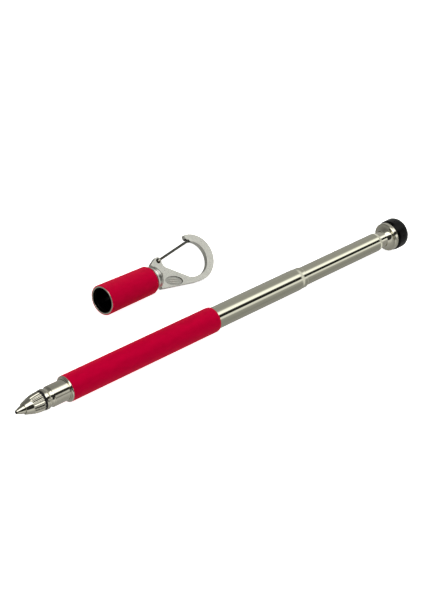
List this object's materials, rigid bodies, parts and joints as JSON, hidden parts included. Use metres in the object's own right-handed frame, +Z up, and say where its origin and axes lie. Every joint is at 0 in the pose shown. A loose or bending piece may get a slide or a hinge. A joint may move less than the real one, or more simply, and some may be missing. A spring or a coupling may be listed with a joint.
{
  "type": "telescopic pen",
  "caption": "Slim pocket pen whose tail telescopes out of a red barrel, with a separate push-fit cap that carries a swivelling flat snap hook with a sprung wire gate.",
  "frame": {"origin": "on the table, under the middle of the bounding box of the pen and its cap", "axes": "+X along the pen from the writing point to the end button, +Y from the pen towards the cap, +Z up"},
  "size_m": [0.1466, 0.0298, 0.0105],
  "materials": {
    "red_anodised": "red anodised aluminium, satin",
    "bright_nickel": "bright nickel plate on turned brass",
    "satin_nickel": "satin nickel plate on die-cast zinc",
    "stainless": "drawn stainless steel, polished",
    "spring_bronze": "rolled phosphor bronze strip",
    "brass": "drawn brass tube",
    "black_rubber": "moulded nitrile rubber",
    "black_plastic": "moulded black ABS",
    "white_nylon": "moulded nylon",
    "hard_metal": "polished tungsten carbide"
  },
  "bodies": {
    "barrel": {"barrel_shell": "red_anodised", "front_collar": "bright_nickel", "refill_holder": "white_nylon"},
    "refill": {"writing_ball": "hard_metal", "refill_tip": "bright_nickel", "ink_tube": "brass"},
    "seal": {"o_ring": "black_rubber"},
    "nose": {"nose_cone": "bright_nickel"},
    "large_tube": {"large_tube": "stainless", "large_tube_shoe": "spring_bronze"},
    "small_tube": {"small_tube": "stainless", "small_tube_shoe": "spring_bronze", "end_knob": "bright_nickel", "end_button": "black_plastic"},
    "cap": {"cap_shell": "red_anodised", "cap_mouth_ring": "bright_nickel", "cap_liner": "black_plastic", "cap_plug": "satin_nickel", "swivel_washer": "black_rubber"},
    "clip": {"clip_hook": "satin_nickel", "swivel_pin": "bright_nickel"},
    "gate": {"gate_wire": "stainless"}
  },
  "joints": [
    {"name": "large_tube_slide", "type": "slide", "parent": "barrel", "child": "large_tube", "axis": [1, 0, 0], "range_m": [-0.0348, 0]},
    {"name": "small_tube_slide", "type": "slide", "parent": "large_tube", "child": "small_tube", "axis": [1, 0, 0], "range_m": [-0.0338, 0]},
    {"name": "nose_advance", "type": "slide", "parent": "barrel", "child": "seal", "axis": [-1, 0, 0], "range_m": [0, 0.003]},
    {"name": "nose_unscrew", "type": "hinge", "parent": "seal", "child": "nose", "pos_m": [-0.06525, -0.01024, 0.00465], "axis": [-1, 0, 0], "range_deg": [0, 2162]},
    {"name": "refill_pull", "type": "slide", "parent": "barrel", "child": "refill", "axis": [-1, 0, 0], "range_m": [0, 0.052]},
    {"name": "cap_slide", "type": "slide", "parent": "barrel", "child": "cap", "axis": [1, 0, 0], "range_m": [-0.03, 0.03]},
    {"name": "clip_swivel", "type": "hinge", "parent": "cap", "child": "clip", "pos_m": [-0.01557, 0.00716, 0.00368], "axis": [0.9917, 0, -0.129], "continuous": true},
    {"name": "gate_hinge", "type": "hinge", "parent": "clip", "child": "gate", "pos_m": [-0.01265, 0.01101, 0.0033], "axis": [-0.129, 0, -0.9917], "range_deg": [0, 35], "stiffness_Nm_per_rad": 0.002, "springref_deg": -17.19}
  ],
  "couplings": [
    {"joint": "nose_unscrew", "follows": "nose_advance", "rad_per_m": 12566}
  ]
}
